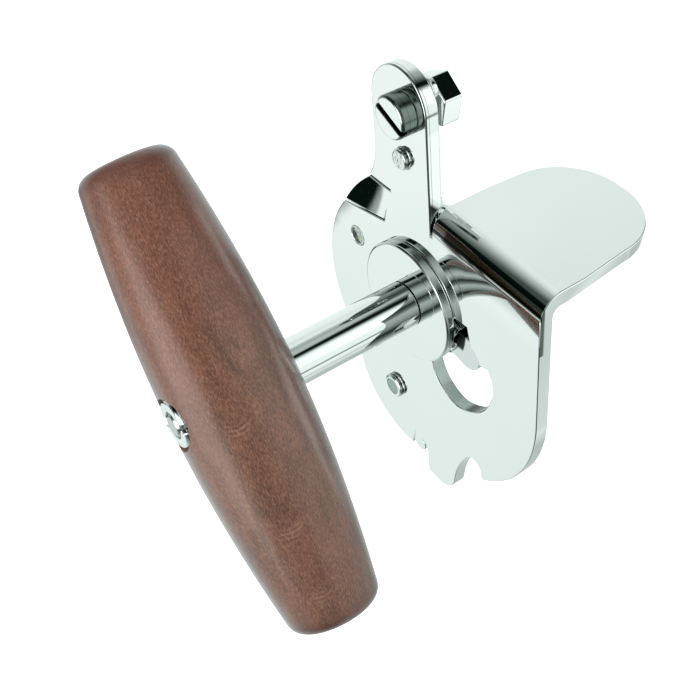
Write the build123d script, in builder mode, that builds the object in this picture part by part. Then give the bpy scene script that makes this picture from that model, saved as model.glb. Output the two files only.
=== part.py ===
from build123d import *
from math import atan2, cos, radians, sin, tan
import os

os.makedirs("parts", exist_ok=True)

# Manual can opener. Lengths are millimetres and angles are degrees.
# The origin is the nip, where the can's rim is gripped under the knife and over the wheel.
# +X points to the user's right along the plate, +Y points to the can, +Z up the can's wall.
# At rest the bush is closed, with its stop lug against the upper end of the window.

# Sizes and clearances that several pieces share
sheet_t = 3.0
run_gap = 0.05
thrust_gap = 0.1
overrun = 1.0
wheel_tip_r = 12.0
wheel_t = 2.5
retainer_t = 1.0

# Depths, from the wheel's back face at the origin towards the user
retainer_back_y = -wheel_t - thrust_gap
plate_back_y = retainer_back_y - retainer_t - run_gap
plate_front_y = plate_back_y - sheet_t
stack_depth = -plate_front_y
shaft_z = -wheel_tip_r

# The plate's front face, seen by the user: x to the right, y up, both from the shaft's axis
front = Plane(origin=(0, plate_front_y, shaft_z), x_dir=(1, 0, 0), z_dir=(0, -1, 0))
back = front.offset(-sheet_t)

# Eccentric bush: its own axis, and the shaft's axis beside it
disc_r = 13.0
disc_t = 2.0
disc_edge = 0.35
journal_r = 10.6
bush_eccentricity = 5.9
bush_lean = 43.3
hub_r = 4.65
hub_length = 3.1
bush_x = -bush_eccentricity * cos(radians(bush_lean))
bush_z = -bush_eccentricity * sin(radians(bush_lean))

# Stop lug: round nose, its centre at a distance and angle from the bush's axis
lug_r = 3.6
lug_reach = 16.1
lug_angle = -18.7
lug_setback = 0.8
lug_gap = 0.15
pocket_reach = 16.8
pocket_x = bush_x + pocket_reach * cos(radians(lug_angle))
pocket_z = bush_z + pocket_reach * sin(radians(lug_angle))

# Drive shaft
shaft_r = 3.5
square_size = 5.4
stud_r = 2.6

# Knife and its screw
knife_t = 1.0
blade_gap = 0.4
screw_x = -2.5
screw_z = 38.45
screw_r = 2.5
screw_head_r = 4.1
screw_head_h = 3.2
collar_h = 1.47
nut_across_flats = 9.0
nut_h = 4.07
nut_turn = 18.5
pin_x = -5.0
pin_z = 27.8
pin_r = 2.1
pin_proud = 1.2

# Studs that bear on the can's wall
upper_stud_x = -22.4
upper_stud_z = 2.3
lower_stud_x = -11.7
lower_stud_z = -31.7
lower_stud_proud = 1.1
stud_rest_r = 2.15
stud_rest_gap = 0.25

# Body plate: ear, lobes and edges, from the shaft's axis
ear_x = -5.92
ear_z = 37.62
ear_r = 7.85
side_lobe_x = -6.75
side_lobe_z = -8.94
side_lobe_r = 26.5
low_lobe_x = -7.4
low_lobe_z = -28.6
low_lobe_r = 18.2
right_lobe_x = 1.2
right_lobe_z = -14.1
right_lobe_r = 30.05
hook_drop = 52.0
plate_right_x = right_lobe_x + right_lobe_r

# Wing, bent back from the plate along a line that falls to the right
wing_tilt = 7.6
wing_top_left_z = 19.2
wing_reach = 34.1
bend_outer_r = 4.8
relief = 0.4
wing_left_x = ear_x + ear_r + relief

# Rim guide: a tab between two lanced slits, curved back
tab_drop = 0.3
slit_width = 0.35
tab_length = 14.0

# Handle
handle_length = 89.8
handle_mid_r = 12.55
handle_end_r = 8.8
handle_edge = 1.5
barrel_steps = 3
handle_lean = -36.34
handle_reach = 44.34
handle_socket = 1.6
handle_nut_r = 5.0
handle_nut_h = 2.2
handle_nut_sink = 0.3
nut_pocket_gap = 0.2
stud_proud = 0.25


def turned(point_x, point_z, reach, angle):
    return (point_x + reach * cos(radians(angle)), point_z + reach * sin(radians(angle)))


def at_shares(shares, left, low, width, height):
    return [(left + x * width, low + z * height) for x, z in shares]


# Wing: a strip with the bend's section, cut to the wing's plan and square to the plate's edges
tilt_cos = cos(radians(wing_tilt))
tilt_sin = sin(radians(wing_tilt))
wing_width = plate_right_x - wing_left_x
wing_length = wing_width / tilt_cos
wing_origin = (wing_left_x, plate_front_y, shaft_z + wing_top_left_z)
strip_left = wing_left_x - overrun * tilt_cos
strip_high = wing_top_left_z + overrun * tilt_sin
strip_origin = (strip_left, plate_front_y, shaft_z + strip_high)
bend_section = Plane(origin=strip_origin, x_dir=(0, 1, 0), z_dir=(tilt_cos, 0, -tilt_sin))
wing_plan = Plane(origin=wing_origin, x_dir=(tilt_cos, 0, -tilt_sin), z_dir=(tilt_sin, 0, tilt_cos))
wing_left_side = Plane(origin=wing_origin, z_dir=(1, 0, 0))
wing_right_side = Plane(origin=(plate_right_x, 0, 0), z_dir=(1, 0, 0))
bend_inner_r = bend_outer_r - sheet_t
wing_shares = [(0.02, 0.64), (0.15, 0.885), (0.5, 1.0), (0.84, 0.89), (0.965, 0.62)]
wing_points = at_shares(wing_shares, 0, 0, wing_length, wing_reach)
left_end, left_shoulder, nose, right_shoulder, right_end = wing_points
strip_height = bend_outer_r + overrun + overrun + overrun
plan_low = -overrun
plan_right = wing_length + overrun

with BuildPart() as wing:
    with BuildSketch(bend_section):
        with BuildLine():
            Line((0, -bend_outer_r), (sheet_t, -bend_outer_r))
            RadiusArc((sheet_t, -bend_outer_r), (bend_outer_r, -sheet_t), bend_inner_r)
            Line((bend_outer_r, -sheet_t), (wing_reach, -sheet_t))
            Line((wing_reach, -sheet_t), (wing_reach, 0))
            Line((wing_reach, 0), (bend_outer_r, 0))
            RadiusArc((bend_outer_r, 0), (0, -bend_outer_r), -bend_outer_r)
        make_face()
    extrude(amount=wing_length + 2 * overrun)
    with BuildSketch(wing_plan.offset(overrun)):
        with BuildLine():
            Polyline((plan_low, plan_low), (plan_low, 0), left_end)
            ThreePointArc(left_end, left_shoulder, nose)
            ThreePointArc(nose, right_shoulder, right_end)
            Polyline(right_end, (plan_right, 0), (plan_right, plan_low), (plan_low, plan_low))
        make_face()
    extrude(amount=-strip_height, mode=Mode.INTERSECT)
    split(bisect_by=wing_left_side, keep=Keep.TOP)
    split(bisect_by=wing_right_side, keep=Keep.BOTTOM)

# Where the bend starts on the plate's front face
bend_left = (wing_left_x, wing_top_left_z - bend_outer_r / tilt_cos)
bend_right = (plate_right_x, bend_left[1] - wing_width * tan(radians(wing_tilt)))

# Rim guide: a strip curved back from its root, cut to the tab's outline
tab_low_angle = 137.0
tab_root_low = (-12.5, 10.6)
tab_root_high = (-9.8, 18.9)
tab_tip_low = turned(side_lobe_x, side_lobe_z, side_lobe_r, tab_low_angle)
tab_tip_high = (-16.4, 19.6)
tab_tip_middle = (-21.7, 14.75)
tab_curl_r = tab_length**2 / (2 * tab_drop)
tab_under_r = tab_curl_r - sheet_t
tab_curl = tab_length / tab_curl_r
root_run_x = tab_root_high[0] - tab_root_low[0]
root_run_z = tab_root_high[1] - tab_root_low[1]
root_rise = Vector(root_run_x, 0, root_run_z).normalized()
root_point = (tab_root_low[0], plate_front_y, shaft_z + tab_root_low[1])
tab_section = Plane(origin=root_point, x_dir=(-root_rise.Z, 0, root_rise.X), z_dir=-root_rise)
front_end = (tab_curl_r * sin(tab_curl), tab_curl_r * (1 - cos(tab_curl)))
back_end = (tab_under_r * sin(tab_curl), tab_curl_r - tab_under_r * cos(tab_curl))

with BuildPart() as rim_guide:
    with BuildSketch(tab_section):
        with BuildLine():
            RadiusArc((0, 0), front_end, -tab_curl_r)
            Line(front_end, back_end)
            RadiusArc(back_end, (0, sheet_t), tab_under_r)
            Line((0, sheet_t), (0, 0))
        make_face()
    extrude(amount=tab_length, both=True)
    with BuildSketch(front.offset(overrun)):
        with BuildLine():
            low_root = (tab_root_low[0], tab_root_low[1] + slit_width)
            high_root = (tab_root_high[0], tab_root_high[1] - slit_width)
            low_tip = (tab_tip_low[0], tab_tip_low[1] + slit_width)
            high_tip = (tab_tip_high[0], tab_tip_high[1] - slit_width)
            Polyline(high_tip, high_root, low_root, low_tip)
            ThreePointArc(low_tip, tab_tip_middle, high_tip)
        make_face()
    extrude(amount=-(sheet_t + tab_drop + 2 * overrun), mode=Mode.INTERSECT)

# Corners of the plate's outline, clockwise from the ear
ear_left = (ear_x - ear_r, ear_z)
ear_right = (ear_x + ear_r, ear_z)
relief_low_z = bend_left[1] - relief
right_lobe_end_angle = -60.9
right_lobe_start = turned(right_lobe_x, right_lobe_z, right_lobe_r, 0)
right_lobe_middle = turned(right_lobe_x, right_lobe_z, right_lobe_r, right_lobe_end_angle / 2)
right_lobe_end = turned(right_lobe_x, right_lobe_z, right_lobe_r, right_lobe_end_angle)
low_lobe_angle = -169.6
low_lobe_middle_angle = -130.0
low_lobe_start = (low_lobe_x, low_lobe_z - low_lobe_r)
low_lobe_middle = turned(low_lobe_x, low_lobe_z, low_lobe_r, low_lobe_middle_angle)
low_lobe_end = turned(low_lobe_x, low_lobe_z, low_lobe_r, low_lobe_angle)
side_lobe_angle = -152.4
side_lobe_start = turned(side_lobe_x, side_lobe_z, side_lobe_r, side_lobe_angle)
side_lobe_middle = (side_lobe_x - side_lobe_r, side_lobe_z)
flare_drop = 10.6
flare_middle_out = 1.07
flare_middle_drop = 15.2
flare_end = (ear_left[0], ear_z - flare_drop)
flare_middle = (ear_left[0] - flare_middle_out, ear_z - flare_middle_drop)

# Cap lifter: the hook left of the notch, the notch, and a small tooth beside the hook.
# Its box is the hook's and the notch's width by their height.
lifter_left = -6.9
lifter_width = 22.7
lifter_height = 15.7
lifter_box = (lifter_left, -hook_drop, lifter_width, lifter_height)
notch_shares = [(0.987, 0.9), (0.9, 1.0), (0.79, 0.9)]
hook_right_shares = [(0.66, 0.535), (0.62, 0.3), (0.56, 0.1), (0.34, 0.0)]
hook_left_shares = [(0.225, 0.03), (0.205, 0.12), (0.21, 0.4)]
tooth_shares = [(0.19, 0.5), (0.155, 0.54), (0.1, 0.33), (0.01, 0.48)]
notch_corner, notch_roof, notch_bend = at_shares(notch_shares, *lifter_box)
hook_flank, hook_heel, hook_round, hook_tip = at_shares(hook_right_shares, *lifter_box)
hook_toe, hook_back, hook_root = at_shares(hook_left_shares, *lifter_box)
tooth_root, tooth_right, tooth_tip, tooth_left = at_shares(tooth_shares, *lifter_box)

# Window: the kidney in which the stop lug swings
window_left = 1.0
window_low = -24.2
window_width = 18.1
window_height = 22.8
window_box = (window_left, window_low, window_width, window_height)
window_low_shares = [(0.0, 0.29), (0.15, 0.09), (0.42, 0.0), (0.75, 0.105)]
window_high_shares = [(0.965, 0.35), (1.0, 0.53), (0.92, 0.68), (0.6, 0.99)]
window_start, left_bow, window_bottom, right_bow = at_shares(window_low_shares, *window_box)
window_side, side_bow, window_corner, window_top = at_shares(window_high_shares, *window_box)
window_mouth_angles = (-76.0, 14.0)
window_mouth_low = turned(bush_x, bush_z, journal_r, window_mouth_angles[0])
window_mouth_high = turned(bush_x, bush_z, journal_r, window_mouth_angles[1])
pocket_r = lug_r + lug_gap
pocket_start_angle = 8.0
pocket_end_angle = 90 + lug_angle
pocket_start = turned(pocket_x, pocket_z, pocket_r, pocket_start_angle)
pocket_middle = turned(pocket_x, pocket_z, pocket_r, (pocket_start_angle + pocket_end_angle) / 2)
pocket_end = turned(pocket_x, pocket_z, pocket_r, pocket_end_angle)

with BuildPart() as body_plate:
    with BuildSketch(front):
        with BuildLine():
            ThreePointArc(ear_left, (ear_x, ear_z + ear_r), ear_right)
            Polyline(ear_right, (ear_right[0], relief_low_z), (wing_left_x, relief_low_z), bend_left)
            Polyline(bend_left, bend_right, right_lobe_start)
            ThreePointArc(right_lobe_start, right_lobe_middle, right_lobe_end)
            Line(right_lobe_end, notch_corner)
            ThreePointArc(notch_corner, notch_roof, notch_bend)
            ThreePointArc(notch_bend, hook_flank, hook_heel)
            ThreePointArc(hook_heel, hook_round, hook_tip)
            Line(hook_tip, hook_toe)
            Line(hook_toe, hook_back)
            Line(hook_back, hook_root)
            ThreePointArc(hook_root, tooth_root, tooth_right)
            ThreePointArc(tooth_right, tooth_tip, tooth_left)
            Line(tooth_left, low_lobe_start)
            ThreePointArc(low_lobe_start, low_lobe_middle, low_lobe_end)
            Line(low_lobe_end, side_lobe_start)
            ThreePointArc(side_lobe_start, side_lobe_middle, tab_tip_low)
            ThreePointArc(tab_tip_low, tab_tip_middle, tab_tip_high)
            ThreePointArc(tab_tip_high, flare_middle, flare_end)
            Line(flare_end, ear_left)
        make_face()
        with BuildLine(mode=Mode.PRIVATE) as kidney:
            ThreePointArc(window_start, left_bow, window_bottom)
            ThreePointArc(window_bottom, right_bow, window_side)
            ThreePointArc(window_side, side_bow, window_corner)
            Line(window_corner, pocket_start)
            ThreePointArc(pocket_start, pocket_middle, pocket_end)
            Polyline(pocket_end, window_top, window_mouth_high, window_mouth_low, window_start)
        make_face(kidney.edges(), mode=Mode.SUBTRACT)
        with Locations((bush_x, bush_z)):
            Circle(journal_r + run_gap, mode=Mode.SUBTRACT)
        with BuildLine(mode=Mode.PRIVATE) as tab_clearing:
            Polyline(tab_tip_low, tab_root_low, tab_root_high, tab_tip_high)
            Polyline(tab_tip_high, (tab_tip_low[0], tab_tip_high[1]), tab_tip_low)
        make_face(tab_clearing.edges(), mode=Mode.SUBTRACT)
        with Locations((screw_x, screw_z)):
            Circle(screw_r, mode=Mode.SUBTRACT)
        with Locations((pin_x, pin_z)):
            Circle(pin_r, mode=Mode.SUBTRACT)
        with Locations((upper_stud_x, upper_stud_z), (lower_stud_x, lower_stud_z)):
            Circle(stud_rest_r, mode=Mode.SUBTRACT)
    extrude(amount=-sheet_t)
    add(wing.part)
    add(rim_guide.part)

body_plate.part.label = "body_plate"
export_step(body_plate.part, "parts/body_plate.step")

# Knife: a strip joggled back over the rim and cut to the blade's outline
knife_left = -12.4
knife_right = 0.9
knife_high = 43.8
knife_corner_r = 2.6
joggle_high = 18.6
joggle_low = 15.4
blade_shoulder = 16.4
blade_overlap = 0.6
blade_tip_height = 1.5
blade_low = wheel_tip_r - blade_overlap
blade_y = blade_gap
blade_step = blade_y - plate_back_y
bend_shift = knife_t * tan(atan2(blade_step, joggle_high - joggle_low) / 2)
knife_side = Plane(origin=(knife_left, plate_back_y, shaft_z), x_dir=(0, 1, 0), z_dir=(1, 0, 0))
blade_shares = [(0.97, 0.0), (0.5, 0.2)]
blade_width = knife_right - knife_left
blade_height = blade_shoulder - blade_low
blade_tip, blade_belly = at_shares(blade_shares, knife_left, blade_low, blade_width, blade_height)

with BuildPart() as knife:
    with BuildSketch(knife_side):
        with BuildLine():
            Polyline((knife_t, knife_high), (0, knife_high), (0, joggle_high), (blade_step, joggle_low))
            Polyline((blade_step, joggle_low), (blade_step, 0), (blade_step + knife_t, 0))
            Line((blade_step + knife_t, 0), (blade_step + knife_t, joggle_low + bend_shift))
            Line((blade_step + knife_t, joggle_low + bend_shift), (knife_t, joggle_high + bend_shift))
            Line((knife_t, joggle_high + bend_shift), (knife_t, knife_high))
        make_face()
    extrude(amount=knife_right - knife_left)
    with BuildSketch(back):
        with BuildLine():
            Polyline((knife_left, blade_shoulder), (knife_left, knife_high), (knife_right, knife_high))
            Polyline((knife_right, knife_high), (knife_right, blade_low + blade_tip_height), blade_tip)
            ThreePointArc(blade_tip, blade_belly, (knife_left, blade_shoulder))
        make_face()
        corners = vertices().filter_by(lambda corner: abs(corner.Y - knife_high) < run_gap)
        fillet(corners, radius=knife_corner_r)
        with Locations((screw_x, screw_z)):
            Circle(screw_r, mode=Mode.SUBTRACT)
        with Locations((pin_x, pin_z)):
            Circle(pin_r, mode=Mode.SUBTRACT)
    extrude(amount=-(blade_step + knife_t + overrun), mode=Mode.INTERSECT)

knife.part.label = "knife"
export_step(knife.part, "parts/knife.step")

# Screw through the ear and the knife, with its collar in front and its nut behind
screw_edge = 0.45
slot_width = 1.25
slot_depth = 1.3
slot_turn = -28.6
screw_end = 0.6
screw_axis = Location((screw_x, screw_z))
screw_length = collar_h + sheet_t + knife_t + nut_h + screw_end

with BuildPart() as knife_screw:
    with BuildSketch(front.offset(collar_h)):
        with Locations(screw_axis):
            Circle(screw_head_r)
    extrude(amount=screw_head_h)
    chamfer(knife_screw.edges().group_by(Axis.Y)[0], length=screw_edge)
    with BuildSketch(front.offset(collar_h + screw_head_h)):
        with Locations(screw_axis):
            Rectangle(2 * screw_head_r + overrun, slot_width, rotation=slot_turn)
    extrude(amount=-slot_depth, mode=Mode.SUBTRACT)
    with BuildSketch(front.offset(collar_h)):
        with Locations(screw_axis):
            Circle(screw_r)
    extrude(amount=-screw_length)
    chamfer(knife_screw.edges().group_by(Axis.Y)[-1], length=screw_end / 2)

knife_screw.part.label = "knife_screw"
export_step(knife_screw.part, "parts/knife_screw.step")

collar_edge = 0.2

with BuildPart() as screw_collar:
    with BuildSketch(front):
        with Locations(screw_axis):
            Circle(screw_head_r)
            Circle(screw_r, mode=Mode.SUBTRACT)
    extrude(amount=collar_h)
    rims = screw_collar.edges().filter_by(GeomType.CIRCLE)
    chamfer(rims.filter_by(lambda rim: rim.radius > screw_r + run_gap), length=collar_edge)

screw_collar.part.label = "screw_collar"
export_step(screw_collar.part, "parts/screw_collar.step")

with BuildPart() as knife_nut:
    with BuildSketch(back.offset(-knife_t)):
        with Locations(screw_axis):
            RegularPolygon(nut_across_flats / 2, 6, major_radius=False, rotation=nut_turn)
            Circle(screw_r, mode=Mode.SUBTRACT)
    extrude(amount=-nut_h)

knife_nut.part.label = "knife_nut"
export_step(knife_nut.part, "parts/knife_nut.step")

# Pin that stops the knife from turning
pin_edge = 0.3

with BuildPart() as locating_pin:
    with BuildSketch(front.offset(pin_proud)):
        with Locations((pin_x, pin_z)):
            Circle(pin_r)
    extrude(amount=-(pin_proud + sheet_t + knife_t))
    chamfer(locating_pin.edges().group_by(Axis.Y)[0], length=pin_edge)

locating_pin.part.label = "locating_pin"
export_step(locating_pin.part, "parts/locating_pin.step")

# Studs that keep the can's wall square to the plate
rest_length = stack_depth - stud_rest_gap
rest_edge = 0.5

with BuildPart() as upper_stud:
    with BuildSketch(front):
        with Locations((upper_stud_x, upper_stud_z)):
            Circle(stud_rest_r)
    extrude(amount=-rest_length)
    chamfer(upper_stud.edges().group_by(Axis.Y)[-1], length=rest_edge)

upper_stud.part.label = "upper_stud"
export_step(upper_stud.part, "parts/upper_stud.step")

with BuildPart() as lower_stud:
    with BuildSketch(front.offset(lower_stud_proud)):
        with Locations((lower_stud_x, lower_stud_z)):
            Circle(stud_rest_r)
    extrude(amount=-(lower_stud_proud + rest_length))
    chamfer(lower_stud.edges().group_by(Axis.Y)[0], length=pin_edge)
    chamfer(lower_stud.edges().group_by(Axis.Y)[-1], length=rest_edge)

lower_stud.part.label = "lower_stud"
export_step(lower_stud.part, "parts/lower_stud.step")

# Eccentric bush: front disc, hub, journal through the plate, and stop lug in the window
lug_root_share = 0.7
lug_root = lug_root_share * journal_r
lug_middle = (lug_root + lug_reach) / 2
bush_axis = Location((bush_x, bush_z))

with BuildPart() as eccentric_bush:
    with BuildSketch(front.offset(run_gap)):
        with Locations(bush_axis):
            Circle(disc_r)
    extrude(amount=disc_t)
    chamfer(eccentric_bush.edges(), length=disc_edge)
    with BuildSketch(front.offset(run_gap + disc_t)):
        Circle(hub_r)
    extrude(amount=hub_length)
    with BuildSketch(front.offset(run_gap)):
        with Locations(bush_axis):
            Circle(journal_r)
    extrude(amount=-(run_gap + sheet_t + run_gap))
    with BuildSketch(front.offset(-lug_setback)):
        with Locations(Location((bush_x, bush_z), lug_angle)):
            with Locations((lug_middle, 0)):
                Rectangle(lug_reach - lug_root, 2 * lug_r)
            with Locations((lug_reach, 0)):
                Circle(lug_r)
    extrude(amount=-(sheet_t - lug_setback))
    with BuildSketch(front.offset(run_gap + disc_t + hub_length)):
        Circle(shaft_r + run_gap)
    extrude(amount=-stack_depth - disc_t - hub_length, mode=Mode.SUBTRACT)

eccentric_bush.part.label = "eccentric_bush"
export_step(eccentric_bush.part, "parts/eccentric_bush.step")

# Rear disc, riveted to the journal, that keeps the bush in the plate
retainer_r = 13.6
retainer_edge = 0.4

with BuildPart() as bush_retainer:
    with BuildSketch(back.offset(-run_gap)):
        with Locations(bush_axis):
            Circle(retainer_r)
        Circle(shaft_r + run_gap, mode=Mode.SUBTRACT)
    extrude(amount=-retainer_t)
    rims = bush_retainer.edges().filter_by(GeomType.CIRCLE)
    chamfer(rims.filter_by(lambda rim: rim.radius > shaft_r + thrust_gap), length=retainer_edge)

bush_retainer.part.label = "bush_retainer"
export_step(bush_retainer.part, "parts/bush_retainer.step")

# Transport wheel: a serrated disc on the shaft's square, its back face flush with the shaft
tooth_count = 32
tooth_depth = 0.9
tooth_tip_share = 0.28
tooth_root_share = 0.3
tooth_pitch = 360 / tooth_count
wheel_root_r = wheel_tip_r - tooth_depth
tip_half = tooth_pitch * tooth_tip_share / 2
root_half = tooth_pitch * tooth_root_share / 2
wheel_outline = []
for tooth in range(tooth_count):
    middle = tooth * tooth_pitch
    wheel_outline.append(turned(0, 0, wheel_tip_r, middle - tip_half))
    wheel_outline.append(turned(0, 0, wheel_tip_r, middle + tip_half))
    wheel_outline.append(turned(0, 0, wheel_root_r, middle + tooth_pitch / 2 - root_half))
    wheel_outline.append(turned(0, 0, wheel_root_r, middle + tooth_pitch / 2 + root_half))

wheel_front = front.offset(-(stack_depth - wheel_t))

with BuildPart() as transport_wheel:
    with BuildSketch(wheel_front):
        with BuildLine():
            Polyline(*wheel_outline, close=True)
        make_face()
        Rectangle(square_size, square_size, mode=Mode.SUBTRACT)
    extrude(amount=-wheel_t)

transport_wheel.part.label = "transport_wheel"
export_step(transport_wheel.part, "parts/transport_wheel.step")

# Handle: a barrel of short tapers along its own axis, drilled across for the shaft
handle_rise = (sin(radians(handle_lean)), 0, cos(radians(handle_lean)))
handle_centre = (0, plate_front_y - handle_reach, shaft_z)
handle_side = Vector(0, 1, 0).cross(Vector(*handle_rise))
handle_section = Plane(origin=handle_centre, x_dir=(0, 1, 0), z_dir=handle_side)
socket_r = hub_r + run_gap
half_length = handle_length / 2
barrel_profile = []
for step in range(-barrel_steps, barrel_steps + 1):
    along_share = step / barrel_steps
    radius = handle_mid_r - (handle_mid_r - handle_end_r) * along_share**2
    barrel_profile.append((radius, along_share * half_length))
nut_floor = handle_reach + handle_mid_r - handle_nut_sink - handle_nut_h
socket_floor = handle_reach - handle_mid_r + handle_socket

with BuildPart() as handle:
    with BuildSketch(handle_section):
        with BuildLine():
            Polyline(*barrel_profile)
            Polyline(barrel_profile[-1], (0, half_length), (0, -half_length), barrel_profile[0])
        make_face()
    revolve(axis=Axis(handle_centre, handle_rise))
    ends = handle.edges().filter_by(GeomType.CIRCLE).group_by(SortBy.RADIUS)[0]
    chamfer(ends, length=handle_edge)
    with BuildSketch(front.offset(socket_floor)):
        Circle(socket_r)
    extrude(amount=-handle_mid_r, mode=Mode.SUBTRACT)
    with BuildSketch(front.offset(nut_floor)):
        Circle(handle_nut_r + nut_pocket_gap)
    extrude(amount=handle_mid_r, mode=Mode.SUBTRACT)
    with BuildSketch(front.offset(socket_floor)):
        Circle(stud_r)
    extrude(amount=2 * handle_mid_r, mode=Mode.SUBTRACT)

handle.part.label = "handle"
export_step(handle.part, "parts/handle.step")

# Sleeve between the bush's hub and the handle
hub_end = run_gap + disc_t + hub_length
sleeve_start = hub_end + run_gap
sleeve_edge = 0.25

with BuildPart() as shaft_sleeve:
    with BuildSketch(front.offset(sleeve_start)):
        Circle(hub_r)
        Circle(shaft_r, mode=Mode.SUBTRACT)
    extrude(amount=socket_floor - sleeve_start)
    rims = shaft_sleeve.edges().filter_by(GeomType.CIRCLE)
    chamfer(rims.filter_by(lambda rim: rim.radius > shaft_r + run_gap), length=sleeve_edge)

shaft_sleeve.part.label = "shaft_sleeve"
export_step(shaft_sleeve.part, "parts/shaft_sleeve.step")

# Drive shaft: square in the wheel, round through bush and sleeve, thinner through the handle
stud_dome_h = 0.7
stud_end = nut_floor + handle_nut_h + stud_proud

with BuildPart() as drive_shaft:
    with BuildSketch(front.offset(-stack_depth)):
        Rectangle(square_size, square_size)
    extrude(amount=wheel_t)
    with BuildSketch(wheel_front):
        Circle(shaft_r)
    extrude(amount=stack_depth - wheel_t + socket_floor)
    with BuildSketch(front.offset(socket_floor)):
        Circle(stud_r)
    extrude(amount=stud_end - socket_floor)
    chamfer(drive_shaft.edges().group_by(Axis.Y)[0], length=stud_dome_h)

drive_shaft.part.label = "drive_shaft"
export_step(drive_shaft.part, "parts/drive_shaft.step")

# Slotted round nut in the handle's pocket
nut_edge = 0.6
nut_slot_width = 1.5
nut_slot_depth = 1.1
nut_slot_turn = 25.0

with BuildPart() as handle_nut:
    with BuildSketch(front.offset(nut_floor)):
        Circle(handle_nut_r)
    extrude(amount=handle_nut_h)
    chamfer(handle_nut.edges().group_by(Axis.Y)[0], length=nut_edge)
    with BuildSketch(front.offset(nut_floor + handle_nut_h)):
        Rectangle(2 * handle_nut_r + overrun, nut_slot_width, rotation=nut_slot_turn)
    extrude(amount=-nut_slot_depth, mode=Mode.SUBTRACT)
    with BuildSketch(front.offset(nut_floor)):
        Circle(stud_r)
    extrude(amount=handle_nut_h + overrun, mode=Mode.SUBTRACT)

handle_nut.part.label = "handle_nut"
export_step(handle_nut.part, "parts/handle_nut.step")
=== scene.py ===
import bpy
import bmesh
from math import cos, sin, radians, pi
from mathutils import Matrix, Vector


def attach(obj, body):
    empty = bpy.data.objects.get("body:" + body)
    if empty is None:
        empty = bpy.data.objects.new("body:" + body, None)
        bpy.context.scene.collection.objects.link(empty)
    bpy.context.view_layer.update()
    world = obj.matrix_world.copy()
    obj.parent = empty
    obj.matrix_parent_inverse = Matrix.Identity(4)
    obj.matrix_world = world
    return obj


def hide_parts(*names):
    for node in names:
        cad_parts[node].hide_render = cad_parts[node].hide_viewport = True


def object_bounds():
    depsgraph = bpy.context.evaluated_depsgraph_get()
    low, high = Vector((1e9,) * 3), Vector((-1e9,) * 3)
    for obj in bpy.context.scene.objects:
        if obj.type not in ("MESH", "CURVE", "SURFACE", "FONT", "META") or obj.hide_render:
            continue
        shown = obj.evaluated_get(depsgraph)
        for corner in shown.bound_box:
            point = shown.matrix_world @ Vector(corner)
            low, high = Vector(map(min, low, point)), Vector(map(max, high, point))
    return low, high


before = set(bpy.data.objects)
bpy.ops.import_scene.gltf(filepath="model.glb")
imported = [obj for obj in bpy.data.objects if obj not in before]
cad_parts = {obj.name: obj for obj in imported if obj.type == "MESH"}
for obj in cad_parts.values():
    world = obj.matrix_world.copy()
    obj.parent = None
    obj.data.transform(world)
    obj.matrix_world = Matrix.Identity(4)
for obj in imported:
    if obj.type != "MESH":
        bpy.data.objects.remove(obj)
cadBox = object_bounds()
mm = 0.001
print("frame loaded")


# Small helpers for shader nodes: a wire carries one output and does arithmetic
class Wire:
    def __init__(self, tree, socket):
        self.tree = tree
        self.socket = socket

    def math(self, operation, *others):
        node = self.tree.nodes.new("ShaderNodeMath")
        node.operation = operation
        for index, value in enumerate((self,) + others):
            plug(self.tree, value, node.inputs[index])
        return Wire(self.tree, node.outputs[0])

    def __add__(self, other):
        return self.math("ADD", other)

    def __sub__(self, other):
        return self.math("SUBTRACT", other)

    def __rsub__(self, other):
        return (self * -1.0).math("ADD", other)

    def __mul__(self, other):
        return self.math("MULTIPLY", other)

    def __pow__(self, other):
        return self.math("POWER", other)

    def clamp(self):
        node = self.tree.nodes.new("ShaderNodeClamp")
        plug(self.tree, self, node.inputs["Value"])
        return Wire(self.tree, node.outputs[0])

    # Masks: 1 above an edge, below one, between two, or within reach of a place, and 0 elsewhere
    def above(self, edge, softness):
        node = self.tree.nodes.new("ShaderNodeMapRange")
        node.interpolation_type = "SMOOTHSTEP"
        plug(self.tree, self, node.inputs["Value"])
        node.inputs["From Min"].default_value = edge - softness
        node.inputs["From Max"].default_value = edge + softness
        return Wire(self.tree, node.outputs[0])

    def below(self, edge, softness):
        return (self * -1.0).above(-edge, softness)

    def between(self, low, high, softness):
        return self.above(low, softness) * self.below(high, softness)

    def near(self, place, reach, softness):
        return (self - place).math("ABSOLUTE").below(reach, softness)


def plug(tree, value, socket):
    if isinstance(value, Wire):
        tree.links.new(value.socket, socket)
    else:
        socket.default_value = value


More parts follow.
